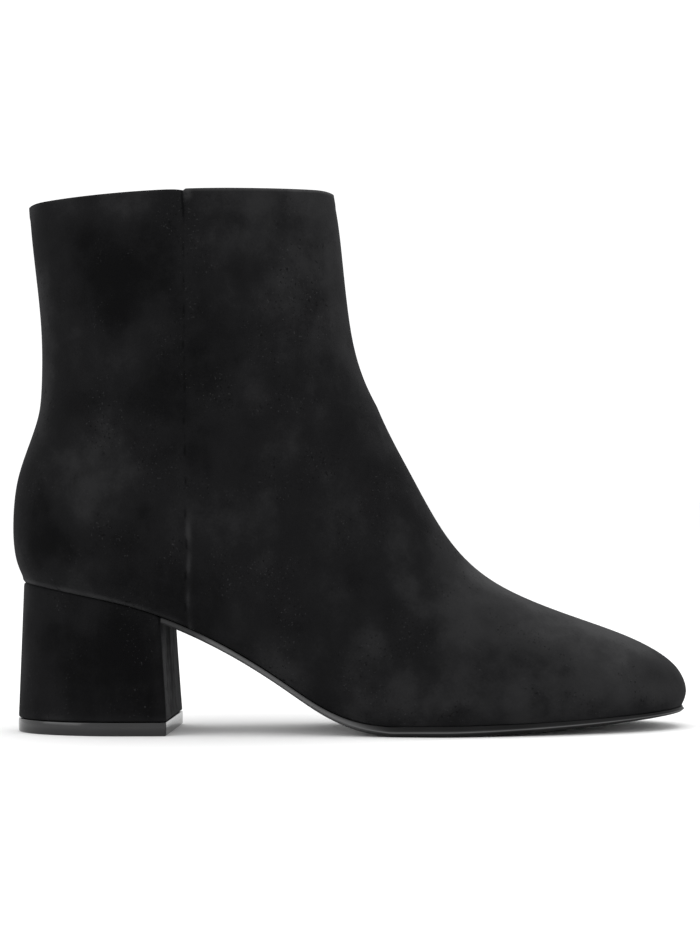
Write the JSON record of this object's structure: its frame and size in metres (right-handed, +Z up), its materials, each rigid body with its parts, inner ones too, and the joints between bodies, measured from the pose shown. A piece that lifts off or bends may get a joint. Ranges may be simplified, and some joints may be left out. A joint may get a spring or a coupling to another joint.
{
  "type": "zip ankle boot",
  "caption": "Right ankle boot in suede on a covered block heel, hollow and open at the collar, closed by a zip on its inner side.",
  "frame": {"origin": "on the floor, under the middle of the boot's bounding box", "axes": "+X from heel to toe, +Y to the inner (big toe) side, +Z up"},
  "size_m": [0.2498, 0.0841, 0.199],
  "materials": {
    "suede": "black suede, napped",
    "sole_rubber": "satin black",
    "lift_rubber": "semi-gloss black",
    "insole_lining": "smooth dark lining leather",
    "zip_tape": "woven black",
    "zip_coil": "black nylon",
    "gunmetal": "dark plated metal"
  },
  "bodies": {
    "boot": {"upper": "suede", "heel": "suede", "outsole": "sole_rubber", "top_lift": "lift_rubber", "insole": "insole_lining", "zip_tape_front": "zip_tape", "zip_tape_rear": "zip_tape", "zip_coil": "zip_coil", "zip_bottom_stop": "gunmetal", "zip_top_stop_front": "gunmetal", "zip_top_stop_rear": "gunmetal", "zip_slider": "gunmetal"},
    "pull_tab": {"zip_pull_tab": "gunmetal"}
  },
  "joints": [
    {"name": "pull_tab_swing", "type": "hinge", "parent": "boot", "child": "pull_tab", "pos_m": [-0.05866, 0.0338, 0.18865], "axis": [1, 0, 0], "range_deg": [0, 165]}
  ]
}
